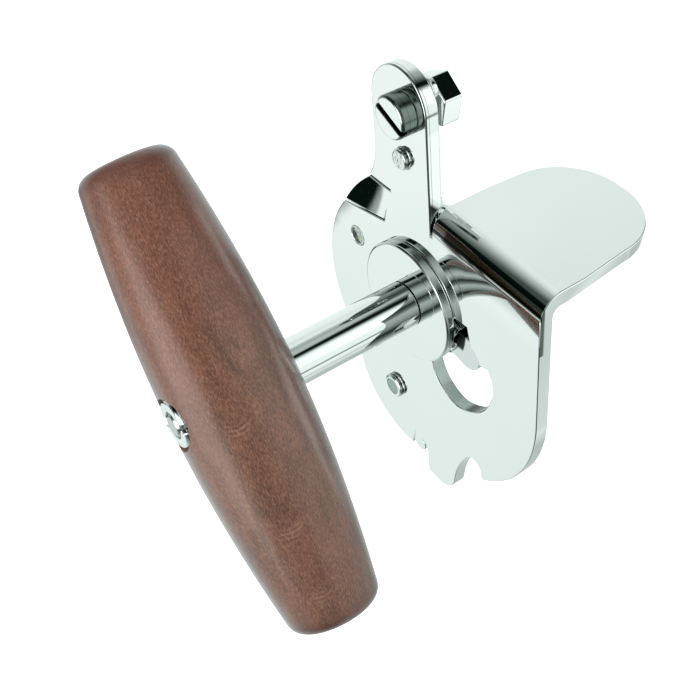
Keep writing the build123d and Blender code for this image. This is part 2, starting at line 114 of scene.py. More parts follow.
class NodeBench:
    def __init__(self, tree):
        self.tree = tree
        tree.nodes.clear()

    def node(self, kind, settings=None, output=0, **inputs):
        made = self.tree.nodes.new(kind)
        for name, value in (settings or {}).items():
            setattr(made, name, value)
        for name, value in inputs.items():
            plug(self.tree, value, made.inputs[name.replace("_", " ")])
        return Wire(self.tree, made.outputs[output])

    # Places inside a material are object places, which are places in the frame
    def place(self):
        return self.node("ShaderNodeTexCoord", output=3)

    def noise(self, place, scale, detail, roughness=0.5, distortion=0.0):
        return self.node("ShaderNodeTexNoise", Vector=place, Scale=scale, Detail=detail, Roughness=roughness,
                         Distortion=distortion)

    def ramp(self, factor, stops):
        made = self.tree.nodes.new("ShaderNodeValToRGB")
        elements = made.color_ramp.elements
        elements.remove(elements[1])
        for index, (place, colour) in enumerate(stops):
            stop = elements[0] if index == 0 else elements.new(place)
            stop.position = place
            stop.color = solid(colour)
        plug(self.tree, factor, made.inputs["Fac"])
        return Wire(self.tree, made.outputs["Color"])

    def mix(self, factor, first, second, blend="MIX"):
        made = self.tree.nodes.new("ShaderNodeMix")
        made.data_type = "RGBA"
        made.blend_type = blend
        plug(self.tree, factor, made.inputs["Factor"])
        plug(self.tree, first, made.inputs[6])
        plug(self.tree, second, made.inputs[7])
        return Wire(self.tree, made.outputs[2])

    def split(self, vector):
        made = self.tree.nodes.new("ShaderNodeSeparateXYZ")
        plug(self.tree, vector, made.inputs[0])
        return [Wire(self.tree, made.outputs[axis]) for axis in range(3)]


def distance(x, z, point):
    pointX, pointZ = point
    return ((x - pointX) ** 2.0 + (z - pointZ) ** 2.0) ** 0.5


def length(parts):
    x, y, z = parts
    return (x * x + y * y + z * z) ** 0.5


# Two lines across the Y axis. Each has its place, half its width and its strength
def linePair(y, lines, softness):
    first, second = (y.near(place, half, softness) * strength for place, half, strength in lines)
    return first + second


def newMaterial(name):
    material = bpy.data.materials.new(name)
    material.use_nodes = True
    return material, NodeBench(material.node_tree)


# The end of every material. The bump's height is a true height in metres, and the sheen's tint is a pale blue
sheenLook = {"roughness": 0.4, "tint": (0.72, 0.9, 1.0, 1.0)}


def finishMaterial(bench, baseColour, metallic, roughness, bumpHeight, coatWeight=0.0, coatRoughness=0.1,
                   sheen=0.0):
    shader = bench.tree.nodes.new("ShaderNodeBsdfPrincipled")
    plug(bench.tree, baseColour, shader.inputs["Base Color"])
    plug(bench.tree, metallic, shader.inputs["Metallic"])
    plug(bench.tree, roughness, shader.inputs["Roughness"])
    shader.inputs["Coat Weight"].default_value = coatWeight
    shader.inputs["Coat Roughness"].default_value = coatRoughness
    shader.inputs["Sheen Weight"].default_value = sheen
    shader.inputs["Sheen Roughness"].default_value = sheenLook["roughness"]
    shader.inputs["Sheen Tint"].default_value = sheenLook["tint"]
    bump = bench.tree.nodes.new("ShaderNodeBump")
    bump.inputs["Strength"].default_value = 1.0
    bump.inputs["Distance"].default_value = 1.0
    plug(bench.tree, bumpHeight, bump.inputs["Height"])
    bench.tree.links.new(bump.outputs[0], shader.inputs["Normal"])
    out = bench.tree.nodes.new("ShaderNodeOutputMaterial")
    bench.tree.links.new(shader.outputs[0], out.inputs["Surface"])


# Colours are written as 0 to 255 values on a screen and turned into scene light here
def linear(red, green, blue):
    channels = [value / 255 for value in (red, green, blue)]
    return tuple(c / 12.92 if c <= 0.04045 else ((c + 0.055) / 1.055) ** 2.4 for c in channels)


def solid(colour):
    return (*colour, 1.0)


def scaled(colour, share):
    return tuple(c * share for c in colour)


# Camera: the photograph's viewing direction, tilt and distance. Its place is counted from the shaft's centre
cameraFit = {"lens": 55.33, "sensor": 36.0, "azimuth": 57.84, "elevation": 39.91, "roll": -6.07,
             "shaftCentre": Vector((0.0, -6.65, -12.0)), "left": 14.88, "below": 11.20, "away": 209.81,
             "clipStart": 0.01}

azimuth = radians(cameraFit["azimuth"])
elevation = radians(cameraFit["elevation"])
roll = radians(cameraFit["roll"])
backAxis = Vector((sin(azimuth) * cos(elevation), -cos(azimuth) * cos(elevation), sin(elevation)))
levelRight = Vector((cos(azimuth), sin(azimuth), 0.0))
levelUp = backAxis.cross(levelRight)
rightAxis = levelRight * cos(roll) + levelUp * sin(roll)
upAxis = levelUp * cos(roll) - levelRight * sin(roll)
eye = (cameraFit["shaftCentre"] - rightAxis * cameraFit["left"] - upAxis * cameraFit["below"]
       + backAxis * cameraFit["away"]) * mm
cameraData = bpy.data.cameras.new("photoCamera")
cameraData.lens = cameraFit["lens"]
cameraData.sensor_width = cameraFit["sensor"]
cameraData.clip_start = cameraFit["clipStart"]
camera = bpy.data.objects.new("photoCamera", cameraData)
turn = Matrix((rightAxis, upAxis, backAxis)).transposed().to_4x4()
camera.matrix_world = Matrix.Translation(eye) @ turn
bpy.context.collection.objects.link(camera)
bpy.context.scene.camera = camera
bpy.context.scene.view_settings.view_transform = "Standard"
print("camera placed")


# Studio round the object: plain levels for soft light, and what the metal mirrors in each direction.
# A silver is a grey with less red and a little more green
silverTone = {"lessRed": 7, "leastRed": 3, "moreGreen": 4, "mostGreen": 254, "mostBlue": 252}


def silver(level):
    red = max(level - silverTone["lessRed"], silverTone["leastRed"])
    green = min(level + silverTone["moreGreen"], silverTone["mostGreen"])
    return linear(red, green, min(level, silverTone["mostBlue"]))


studio = {"front": 0.76, "back": 0.42, "blend": 0.15, "plainEdge": 0.1, "plainBlend": 0.5}
# Grey levels round the Y axis, at 0 to the right and 90 straight up, for the front half and then for the back
frontRing = [
    (-180, 195), (-165, 205), (-149, 224), (-144, 240), (-135, 242), (-125, 239), (-109, 222), (-93, 184),
    (-77, 145), (-61, 86), (-45, 30), (-29, 125), (-13, 163), (3, 178), (19, 106), (35, 35),
    (51, 145), (67, 187), (83, 160), (99, 98), (115, 57), (131, 84), (147, 120), (163, 165), (179, 195),
]
backRing = [
    (-180, 248), (-130, 250), (-105, 196), (-75, 190), (-60, 232), (-50, 208), (-42, 238), (-34, 250),
    (-29, 250), (-23, 96), (-17, 248), (35, 252), (46, 240), (53, 150), (58, 20), (67, 12),
    (76, 96), (88, 158), (98, 172), (106, 198), (114, 230), (125, 240), (150, 244), (179, 248),
]
# Each card: azimuth from and to, elevation from and to, softness of its edge, all in degrees, grey level and
# brightness. Azimuth 0 is the front, 90 the right and -90 the left
cards = [
    (-72, -40, -34, -18, 5, 252, 1.0),
    (-46, -16, -26, -10, 5, 190, 1.0),
    (-46, -16, -12, 18, 5, 112, 1.0),
    (-62, -10, 17, 39, 3, 12, 1.0),
    (-14, 26, -20, 18, 7, 254, 2.8),
    (112, 146, 6, 36, 6, 253, 1.2),
    (60, 179, 61, 95, 3, 186, 1.0),
]
# What the bend mirrors above its dark line: a smooth fall from light to dark, from the back left to the front
bendSky = {
    "low": 38.0, "lowSoft": 2.5, "high": 71.0, "highSoft": 4.0,
    "from": -142.0, "fromSoft": 4.0, "to": -16.0, "toSoft": 6.0,
    "levels": [(-140, 240), (-125, 232), (-110, 220), (-92, 204), (-74, 184), (-58, 158), (-46, 124),
               (-36, 70)],
}
# What the tab mirrors, left of the plate's own directions: a grey card, and a dark one with a slanted edge.
# Each: degrees left where it starts, softness, slant, where the slanted edge starts, softness, grey level
tabCards = {
    "level": -31.7, "low": -40.0, "high": -17.0, "soft": 1.5, "left": -92.0, "leftSoft": 4.0,
    "shades": [(56.3, 0.4, 1.6, 56.1, 0.8, 164), (56.8, 0.6, 4.0, 59.6, 3.4, 14)],
}

world = bpy.data.worlds.new("studio")
bpy.context.scene.world = world
world.use_nodes = True
world.cycles.sampling_method = "NONE"
bench = NodeBench(world.node_tree)
direction = bench.split(bench.node("ShaderNodeTexCoord", output=0))
perDegree = 180 / pi
around = direction[0].math("ARCTAN2", direction[1] * -1.0) * perDegree
height = direction[2].math("ARCSINE") * perDegree
circling = direction[2].math("ARCTAN2", direction[0]) * (1 / (2 * pi)) + 0.5


# Grey levels by angle, where the factor runs from 0 to 1 for -180 to 180 degrees
def levelsByAngle(factor, levels):
    return bench.ramp(factor, [((angle + 180) / 360, silver(level)) for angle, level in levels])


inBack = direction[1].above(0.0, studio["blend"])
mirrored = bench.mix(inBack, levelsByAngle(circling, frontRing), levelsByAngle(circling, backRing))
for start, end, low, high, softness, level, brightness in cards:
    inside = around.between(start, end, softness) * height.between(low, high, softness)
    mirrored = bench.mix(inside, mirrored, solid(scaled(silver(level), brightness)))
inSky = height.above(bendSky["low"], bendSky["lowSoft"]) * height.below(bendSky["high"], bendSky["highSoft"])
inSky = inSky * around.above(bendSky["from"], bendSky["fromSoft"])
inSky = inSky * around.below(bendSky["to"], bendSky["toSoft"])
mirrored = bench.mix(inSky, mirrored, levelsByAngle(around * (1 / 360) + 0.5, bendSky["levels"]))
inBand = height.between(tabCards["low"], tabCards["high"], tabCards["soft"])
inBand = inBand * around.above(tabCards["left"], tabCards["leftSoft"])
for start, softness, slant, slantStart, slantSoftness, level in tabCards["shades"]:
    slanted = (height - tabCards["level"]) * slant - around
    inside = around.below(-start, softness) * slanted.above(slantStart, slantSoftness) * inBand
    mirrored = bench.mix(inside, mirrored, solid(silver(level)))
lightPath = bench.tree.nodes.new("ShaderNodeLightPath")
isCamera = Wire(bench.tree, lightPath.outputs["Is Camera Ray"])
isGlossy = Wire(bench.tree, lightPath.outputs["Is Glossy Ray"])
plainSide = direction[1].above(studio["plainEdge"], studio["plainBlend"])
plain = bench.mix(plainSide, solid((studio["front"],) * 3), solid((studio["back"],) * 3))
seen = bench.mix(isGlossy, plain, mirrored)
seen = bench.mix(isCamera, seen, (1.0, 1.0, 1.0, 1.0))
backdrop = bench.tree.nodes.new("ShaderNodeBackground")
bench.tree.links.new(seen.socket, backdrop.inputs["Color"])
worldOut = bench.tree.nodes.new("ShaderNodeOutputWorld")
bench.tree.links.new(backdrop.outputs[0], worldOut.inputs["Surface"])


# Floor: pale, seen white, and it keeps a soft shadow
floorPlan = {"half": 1.5, "drop": 14 * mm, "colour": (0.8, 0.8, 0.8, 1.0), "lift": 0.62}


def makeFloor(plan):
    mesh = bmesh.new()
    level = cadBox[0][2] - plan["drop"]
    half = plan["half"]
    corners = [mesh.verts.new((x * half, y * half, level)) for x, y in ((-1, -1), (1, -1), (1, 1), (-1, 1))]
    mesh.faces.new(corners)
    data = bpy.data.meshes.new("floor")
    mesh.to_mesh(data)
    mesh.free()
    floor = bpy.data.objects.new("floor", data)
    bpy.context.collection.objects.link(floor)
    material, bench = newMaterial("paleFloor")
    diffuse = bench.tree.nodes.new("ShaderNodeBsdfDiffuse")
    diffuse.inputs["Color"].default_value = plan["colour"]
    glow = bench.tree.nodes.new("ShaderNodeEmission")
    path = bench.tree.nodes.new("ShaderNodeLightPath")
    strength = Wire(bench.tree, path.outputs["Is Camera Ray"]) * plan["lift"]
    bench.tree.links.new(strength.socket, glow.inputs["Strength"])
    both = bench.tree.nodes.new("ShaderNodeAddShader")
    bench.tree.links.new(diffuse.outputs[0], both.inputs[0])
    bench.tree.links.new(glow.outputs[0], both.inputs[1])
    out = bench.tree.nodes.new("ShaderNodeOutputMaterial")
    bench.tree.links.new(both.outputs[0], out.inputs["Surface"])
    data.materials.append(material)
    floor.visible_glossy = False


makeFloor(floorPlan)


# Lamps: one large soft box above the front left and a weaker one at the right
lamps = [
    {"name": "keyBox", "place": (-0.25, -0.45, 0.55), "size": 0.5, "power": 5.0},
    {"name": "sideBox", "place": (0.6, -0.2, 0.35), "size": 0.4, "power": 2.5},
]


def makeLamp(plan):
    light = bpy.data.lights.new(plan["name"], "AREA")
    light.shape = "DISK"
    light.size = plan["size"]
    light.energy = plan["power"]
    lamp = bpy.data.objects.new(plan["name"], light)
    place = Vector(plan["place"])
    lamp.matrix_world = Matrix.Translation(place) @ place.to_track_quat("Z", "Y").to_matrix().to_4x4()
    lamp.visible_glossy = False
    bpy.context.collection.objects.link(lamp)


for plan in lamps:
    makeLamp(plan)
print("studio lit")


# The fine surface of the plated and the turned metal: slow ripples, and a finer noise that makes hazy spots
metalGrain = {"rippleDetail": 3.0, "rippleRoughness": 0.55, "scratchDetail": 5.0, "scratchRoughness": 0.7,
              "hazeEdge": 0.55, "hazeSoft": 0.12, "rippleShare": 0.6, "scratchShare": 0.06}


def fineSurface(bench, place, look, grain=metalGrain):
    ripples = bench.noise(place, look["ripple"], grain["rippleDetail"], grain["rippleRoughness"])
    scratches = bench.noise(place, look["scratch"], grain["scratchDetail"], grain["scratchRoughness"])
    tint = bench.mix(ripples, solid(look["tint"]), solid(scaled(look["tint"], look["spread"])))
    haze = scratches.above(grain["hazeEdge"], grain["hazeSoft"]) * ripples
    relief = (ripples * grain["rippleShare"] + scratches * grain["scratchShare"]) * look["relief"]
    return tint, haze * look["haze"] + look["roughness"], relief


chromeLook = {"name": "platedChrome", "tint": linear(246, 248, 247), "spread": 0.96, "roughness": 0.03,
              "haze": 0.05, "ripple": 60.0, "scratch": 900.0, "relief": 0.014 * mm}
steelLook = {"name": "turnedSteel", "tint": linear(208, 211, 209), "spread": 0.86, "roughness": 0.13,
             "haze": 0.22, "ripple": 120.0, "scratch": 1400.0, "relief": 0.05 * mm}


def makePlainMetal(look):
    material, bench = newMaterial(look["name"])
    tint, roughness, relief = fineSurface(bench, bench.place(), look)
    finishMaterial(bench, tint, 1.0, roughness, relief)
    return material


# The bush and the sleeve: plating with dark dirt in the joint between hub and sleeve. Beyond the disc's radius
# is the bush's lug, tinted a little greyer as a painted reflection, with painted shade in the corner beside
# the disc
jointLook = {
    "joint": -11.83 * mm, "jointHalf": 0.13 * mm, "jointSoft": 0.05 * mm,
    "dirt": linear(30, 34, 31), "dirtRoughness": 0.3,
    "discCentre": (-4.29 * mm, -16.05 * mm), "discRadius": 13.0 * mm,
    "lugFrom": 0.06 * mm, "lugSoft": 0.03 * mm, "lugShade": linear(238, 238, 240),
    "cornerReach": 2.0 * mm, "cornerSoft": 0.2 * mm, "cornerLow": -21.1 * mm, "cornerLowSoft": 0.5 * mm,
    "corner": linear(24, 30, 27), "cornerRoughness": 0.2,
}


def makeJointChrome(look, surface):
    material, bench = newMaterial("jointChrome")
    place = bench.place()
    tint, roughness, relief = fineSurface(bench, place, surface)
    x, y, z = bench.split(place)
    dirt = y.near(look["joint"], look["jointHalf"], look["jointSoft"])
    tint = bench.mix(dirt, tint, solid(look["dirt"]))
    beyond = distance(x, z, look["discCentre"]) - look["discRadius"]
    onLug = beyond.above(look["lugFrom"], look["lugSoft"])
    # Painted reflection: the lug's chrome is tinted greyer
    tint = bench.mix(onLug, tint, solid(look["lugShade"]), blend="MULTIPLY")
    # Painted shade: a dark corner on the lug beside the disc
    corner = onLug * beyond.below(look["cornerReach"], look["cornerSoft"])
    corner = corner * z.above(look["cornerLow"], look["cornerLowSoft"])
    tint = bench.mix(corner, tint, solid(look["corner"]))
    roughness = roughness + dirt * look["dirtRoughness"] + corner * look["cornerRoughness"]
    finishMaterial(bench, tint, 1.0, roughness, relief)
    return material


# The plate. wall and foot: its window's sheared wall is matt and greyer, partly a duller sheared face and
# partly painted reflection of shade, and painted shade darkens the foot of the window.
# tab and slit: the rim guide, between two lines that fan out from its root, curls back and has painted shade
# on its top.
# lean: the front leans slowly back up to the bend, and climb is the height above the line where that starts.
# Ear edge and bend: painted reflection as two dark lines along the ear's edge, and as a darker tint on the
# bend, right of bendLeft
plateLook = {
    "wallMiddle": -5.15 * mm, "wallReach": 1.3 * mm, "wallEdgeSoft": 0.08 * mm,
    "wallCentre": (10.0 * mm, -25.0 * mm), "wallRadius": 13.0 * mm, "wallSoft": 0.5 * mm,
    "wallShade": linear(168, 182, 178), "wallRoughness": 0.12, "wallMatt": 0.6,
    "foot": (13.3 * mm, -33.8 * mm), "footRadius": 3.0 * mm, "footSoft": 0.9 * mm,
    "footShade": linear(40, 54, 50),
    "tabRoot": (-12.5 * mm, -1.4 * mm), "tabRun": (0.309, 0.951), "tabCurl": 4.6,
    "tabTop": 6.75 * mm, "tabTopReach": 0.3 * mm, "tabTopSoft": 0.08 * mm, "tabTopFrom": 0.6 * mm,
    "tabTopFromSoft": 0.5 * mm, "darkShade": linear(34, 42, 39),
    "slitLow": -1.35 * mm, "slitLowSlope": -0.11, "slitHigh": 7.15 * mm, "slitHighSlope": 0.106,
    "slitSoft": 0.02 * mm,
    "front": -6.55 * mm, "frontSoft": 0.05 * mm,
    "lean": 11.0, "leanStart": -5.0 * mm, "leanTilt": 0.133, "leanLeft": 7.0 * mm, "leanSoft": 5.0 * mm,
    "paintedReflectionLines": [(-6.42 * mm, 0.11 * mm, 1.0), (-5.82 * mm, 0.07 * mm, 0.7)], "paintedReflectionSoft": 0.05 * mm,
    "paintedReflectionClimb": 8.2 * mm, "paintedReflectionClimbSoft": 0.5 * mm, "paintedReflectionLeft": -8.0 * mm, "paintedReflectionLeftSoft": 2.0 * mm,
    "paintedReflectionStrength": 0.85,
    "bendFrom": -6.56 * mm, "bendFromSoft": 0.06 * mm, "bendTo": -5.7 * mm, "bendToSoft": 0.25 * mm,
    "bendClimb": 0.4 * mm, "bendClimbSoft": 0.2 * mm, "bendLeft": 5.6 * mm, "bendLeftSoft": 0.5 * mm,
    "bendShade": linear(112, 122, 110),
}


def makePlateChrome(look, surface):
    material, bench = newMaterial("plateChrome")
    place = bench.place()
    tint, roughness, relief = fineSurface(bench, place, surface)
    x, y, z = bench.split(place)
    inSheet = y.near(look["wallMiddle"], look["wallReach"], look["wallEdgeSoft"])
    wall = inSheet * distance(x, z, look["wallCentre"]).below(look["wallRadius"], look["wallSoft"])
    foot = wall * distance(x, z, look["foot"]).below(look["footRadius"], look["footSoft"])
    # Partly the sheared wall's own duller tone and partly painted reflection of shade: the wall is tinted
    # greyer
    tint = bench.mix(wall, tint, solid(look["wallShade"]), blend="MULTIPLY")
    # Painted shade: the foot of the window is painted dark
    tint = bench.mix(foot, tint, solid(look["footShade"]))
    metallic = 1.0 - wall * look["wallMatt"]
    roughness = roughness + wall * look["wallRoughness"]

    rootX, rootZ = look["tabRoot"]
    runX, runZ = look["tabRun"]
    pastRoot = ((x - rootX) * -runZ + (z - rootZ) * runX).math("MAXIMUM", 0.0)
    fromRoot = rootX - x
    aboveSlit = (z - look["slitLow"] - fromRoot * look["slitLowSlope"]).above(0.0, look["slitSoft"])
    belowSlit = (fromRoot * look["slitHighSlope"] + look["slitHigh"] - z).above(0.0, look["slitSoft"])
    curl = pastRoot * pastRoot * -look["tabCurl"] * aboveSlit * belowSlit
    # Painted shade: the tab's top wall inside the slit is painted dark
    onTop = (z - look["tabTop"] - fromRoot * look["slitHighSlope"]).math("ABSOLUTE")
    onTop = onTop.below(look["tabTopReach"], look["tabTopSoft"]) * inSheet
    onTop = onTop * fromRoot.above(look["tabTopFrom"], look["tabTopFromSoft"])
    tint = bench.mix(onTop, tint, solid(look["darkShade"]))

    climb = (z + x * look["leanTilt"] - look["leanStart"]).math("MAXIMUM", 0.0)
    onFront = y.below(look["front"], look["frontSoft"])
    lean = climb * climb * -look["lean"] * x.above(look["leanLeft"], look["leanSoft"]) * onFront
    # Painted reflection: two dark lines along the ear's rounded edge
    paintedReflection = linePair(y, look["paintedReflectionLines"], look["paintedReflectionSoft"])
    paintedReflection = paintedReflection * climb.above(look["paintedReflectionClimb"], look["paintedReflectionClimbSoft"])
    paintedReflection = paintedReflection * x.above(look["paintedReflectionLeft"], look["paintedReflectionLeftSoft"])
    tint = bench.mix(paintedReflection.clamp() * look["paintedReflectionStrength"], tint, solid(look["darkShade"]))
    # Painted reflection: the bend is tinted darker
    onBend = y.above(look["bendFrom"], look["bendFromSoft"]) * y.below(look["bendTo"], look["bendToSoft"])
    onBend = onBend * climb.above(look["bendClimb"], look["bendClimbSoft"])
    onBend = onBend * x.above(look["bendLeft"], look["bendLeftSoft"])
    tint = bench.mix(onBend, tint, solid(look["bendShade"]), blend="MULTIPLY")
    finishMaterial(bench, tint, metallic, roughness, relief + curl + lean)
    return material


# The screw and its collar: bright ends, painted shade in the slot, and a dark turned side
# with fine rings and two lines
screwLook = {
    "axis": (-2.5 * mm, 26.45 * mm), "side": 3.75 * mm, "sideSoft": 0.1 * mm,
    "dark": linear(122, 132, 127), "darkest": 0.55, "lightest": 1.3, "bright": linear(244, 247, 246),
    "slotFrom": -11.2 * mm, "slotSoft": 0.05 * mm, "slotShade": linear(26, 31, 28),
    "lines": [(-8.12 * mm, 0.1 * mm, 1.0), (-9.7 * mm, 0.05 * mm, 0.6)], "lineSoft": 0.05 * mm,
    "ringScale": 2600.0, "ringDetail": 4.0, "ringRoughness": 0.7, "ringShare": 0.6, "ringRelief": 0.012 * mm,
    "mottle": (700.0, 4.0, 0.6), "mottleShare": 0.4, "mottleRelief": 0.004 * mm,
    "roughness": 0.05, "sideRoughness": 0.1, "sideMottle": 0.12,
}


def makeScrewSteel(look):
    material, bench = newMaterial("screwSteel")
    place = bench.place()
    x, y, z = bench.split(place)
    side = distance(x, z, look["axis"]).above(look["side"], look["sideSoft"])
    rings = bench.node("ShaderNodeTexNoise", {"noise_dimensions": "1D"}, W=y, Scale=look["ringScale"],
                       Detail=look["ringDetail"], Roughness=look["ringRoughness"])
    mottle = bench.noise(place, *look["mottle"])
    blend = rings * look["ringShare"] + mottle * look["mottleShare"]
    dark = bench.mix(blend, solid(scaled(look["dark"], look["darkest"])),
                     solid(scaled(look["dark"], look["lightest"])))
    dark = bench.mix(linePair(y, look["lines"], look["lineSoft"]), dark, solid(look["slotShade"]))
    # Painted shade: the screw's slot is painted dark
    pastSlot = y.above(look["slotFrom"], look["slotSoft"])
    tint = bench.mix(pastSlot, solid(look["bright"]), solid(look["slotShade"]))
    tint = bench.mix(side, tint, dark)
    roughness = side * (mottle * look["sideMottle"] + look["sideRoughness"]) + look["roughness"]
    relief = rings * look["ringRelief"] * side + mottle * look["mottleRelief"]
    finishMaterial(bench, tint, 1.0, roughness, relief)
    return material


# Studs and pin: plated, with a duller middle, painted shade as a dark crease at its lower left, painted shade
# as a dark groove round the head, and on the upper stud a trace of brass where the plating has worn, mixed
# with painted shade at the middle's lower left
studLooks = {
    "pin": {"axis": (-5.0 * mm, 15.8 * mm), "inner": 0.2 * mm, "middle": linear(226, 232, 229),
            "brass": 0.0, "relief": 0.05 * mm},
    "studHigh": {"axis": (-22.4 * mm, -9.7 * mm), "inner": 1.75 * mm, "middle": linear(206, 214, 208),
                 "brass": 0.95, "relief": 0.12 * mm},
    "studLow": {"axis": (-12.2 * mm, -44.3 * mm), "inner": 1.9 * mm, "middle": linear(162, 174, 172),
                "brass": 0.0, "relief": 0.1 * mm},
}
studShades = {
    "bright": linear(240, 244, 242), "dark": linear(40, 47, 42), "brass": linear(150, 148, 104),
    "mottle": (1100.0, 4.0, 0.6), "innerSoft": 0.12 * mm,
    "left": 0.8, "down": 0.6, "lowLeftFrom": 0.1 * mm, "lowLeftSoft": 0.2 * mm,
    "wearAndShadeEdge": 0.5, "wearAndShadeSoft": 0.06,
    "crease": 0.13 * mm, "creaseSoft": 0.06 * mm, "groove": -7.05 * mm, "lineStrength": 0.85,
    "roughness": 0.03, "middleRoughness": 0.12, "mottleRoughness": 0.08,
}


def makeStudSteel(name, look, shades):
    material, bench = newMaterial(name + "Steel")
    place = bench.place()
    x, y, z = bench.split(place)
    mottle = bench.noise(place, *shades["mottle"])
    axisX, axisZ = look["axis"]
    radius = distance(x, z, look["axis"])
    middle = radius.below(look["inner"], shades["innerSoft"])
    lowLeft = (axisX - x) * shades["left"] + (axisZ - z) * shades["down"]
    lowLeft = lowLeft.above(shades["lowLeftFrom"], shades["lowLeftSoft"])
    # Real brass wear mixed with painted shade, kept to the lower left of the middle
    wearAndShade = bench.mix(mottle.above(shades["wearAndShadeEdge"], shades["wearAndShadeSoft"]), solid(shades["dark"]),
                     solid(shades["brass"]))
    tint = bench.mix(middle, solid(shades["bright"]), solid(look["middle"]))
    tint = bench.mix(middle * lowLeft * look["brass"], tint, wearAndShade)
    # Painted shade: a dark crease at the lower left and a dark groove round the head
    crease = radius.near(look["inner"], shades["crease"], shades["creaseSoft"]) * lowLeft
    groove = y.near(shades["groove"], shades["crease"], shades["creaseSoft"])
    tint = bench.mix((crease + groove).clamp() * shades["lineStrength"], tint, solid(shades["dark"]))
    roughness = middle * shades["middleRoughness"] + mottle * shades["mottleRoughness"] + shades["roughness"]
    finishMaterial(bench, tint, 1.0, roughness, mottle * look["relief"])
    return material


barrelLean = radians(-36.34)
barrelCentre = Vector((0.0, -50.99, -12.0)) * mm

# Wood: fine flecks along the barrel over slow warm patches, redder in bands and darker at both ends, with
# three small pale curls. A curl is a set of arcs round a point that lies curlRise up the barrel from it
woodLook = {
    "pale": linear(116, 76, 55), "mid": linear(97, 60, 42), "dark": linear(76, 47, 33),
    "patchStops": (0.3, 0.5, 0.7), "patches": (230.0, 5.0, 0.7, 1.2),
    "red": linear(106, 52, 32), "bands": (60.0, 2.0), "redEdge": 0.55, "redSoft": 0.12, "redShare": 0.4,
    "stretch": 2.6, "flecks": (4000.0, 3.0, 0.65), "fleckSoft": 0.08,
    "pore": linear(44, 28, 21), "poreEdge": 0.42, "poreShare": 0.55,
    "light": linear(148, 112, 90), "lightEdge": 0.58, "lightShare": 0.32,
    "curls": [(29.3, -54.95, -36.45), (22.77, -55.31, -25.14), (11.4, -56.29, -8.39)],
    "curlRise": 4.0 * mm, "curlPitch": 0.85 * mm, "curlReach": 1.9 * mm, "curlReachSoft": 0.8 * mm,
    "arcEdge": 0.1, "arcSoft": 0.5, "arcStart": 0.4 * mm, "arcStartSoft": 1.5,
    "curlPatchEdge": 0.42, "curlPatchSoft": 0.14, "curlShare": 0.35, "curlShade": linear(146, 112, 92),
    "endTint": linear(70, 38, 28), "endFrom": 42.0 * mm, "endSoft": 2.4 * mm, "endShare": 0.75,
    "roughness": 0.34, "fleckRoughness": 0.22, "fleckRelief": 0.03 * mm, "patchRelief": 0.05 * mm,
    "coat": 0.8, "coatRoughness": 0.24, "sheen": 0.28,
}


def curlArcs(place, spot, look):
    across, rise = sin(barrelLean) * look["curlRise"], cos(barrelLean) * look["curlRise"]
    x, y, z = [axis - middle * mm for axis, middle in zip(place, spot)]
    perLength = 2 * pi / look["curlPitch"]
    phase = length((x - across, y, z - rise)) * perLength
    arcs = phase.math("SINE").above(look["arcEdge"], look["arcSoft"])
    arcs = arcs * length((x, y, z)).below(look["curlReach"], look["curlReachSoft"])
    return arcs * phase.above((look["curlRise"] - look["arcStart"]) * perLength, look["arcStartSoft"])


def makeWood(look):
    material, bench = newMaterial("stainedBeech")
    x, y, z = bench.split(bench.place())
    along = x * sin(barrelLean) + (z - barrelCentre.z) * cos(barrelLean)
    across = x * cos(barrelLean) - (z - barrelCentre.z) * sin(barrelLean)
    grainPlace = bench.node("ShaderNodeCombineXYZ", X=across, Y=y, Z=along * (1 / look["stretch"]))
    flecks = bench.noise(grainPlace, *look["flecks"])
    patches = bench.noise(grainPlace, *look["patches"])
    bands = bench.noise(grainPlace, *look["bands"])
    colour = bench.ramp(patches, zip(look["patchStops"], (look["dark"], look["mid"], look["pale"])))
    reds = bands.above(look["redEdge"], look["redSoft"])
    colour = bench.mix(reds * look["redShare"], colour, solid(look["red"]))
    pores = flecks.below(look["poreEdge"], look["fleckSoft"])
    colour = bench.mix(pores * look["poreShare"], colour, solid(look["pore"]))
    lights = flecks.above(look["lightEdge"], look["fleckSoft"])
    colour = bench.mix(lights * look["lightShare"], colour, solid(look["light"]))
    curlPatches = patches.above(look["curlPatchEdge"], look["curlPatchSoft"]) * look["curlShare"]
    for spot in look["curls"]:
        colour = bench.mix(curlArcs((x, y, z), spot, look) * curlPatches, colour, solid(look["curlShade"]))
    ends = along.math("ABSOLUTE").above(look["endFrom"], look["endSoft"])
    colour = bench.mix(ends * look["endShare"], colour, solid(look["endTint"]))
    roughness = flecks * look["fleckRoughness"] + look["roughness"]
    relief = flecks * look["fleckRelief"] + patches * look["patchRelief"]
    finishMaterial(bench, colour, 0.0, roughness, relief, coatWeight=look["coat"],
                   coatRoughness=look["coatRoughness"], sheen=look["sheen"])
    return material


chrome = makePlainMetal(chromeLook)
jointChrome = makeJointChrome(jointLook, chromeLook)
plateChrome = makePlateChrome(plateLook, chromeLook)
steel = makePlainMetal(steelLook)
screwSteel = makeScrewSteel(screwLook)
studSteels = {name: makeStudSteel(name, look, studShades) for name, look in studLooks.items()}
wood = makeWood(woodLook)
print("materials made")


# A dressed piece: a merged copy of a CAD node with rounded edges and even shading. An edge is rounded where
# its faces turn by more than sharp degrees, except beside an edge shorter than room
dressing = {"merge": 0.002 * mm, "flat": radians(0.4), "room": 0.12 * mm, "sharp": 30, "normalWeight": 100}


def widenHead(mesh, head):
    axisX, axisZ = head["axis"]
    middleX, middleZ = head["middle"]
    for vertex in mesh.verts:
        if vertex.co.y < head["from"]:
            vertex.co.x = middleX + (vertex.co.x - axisX) * head["wider"]
            vertex.co.z = middleZ + (vertex.co.z - axisZ) * head["wider"]


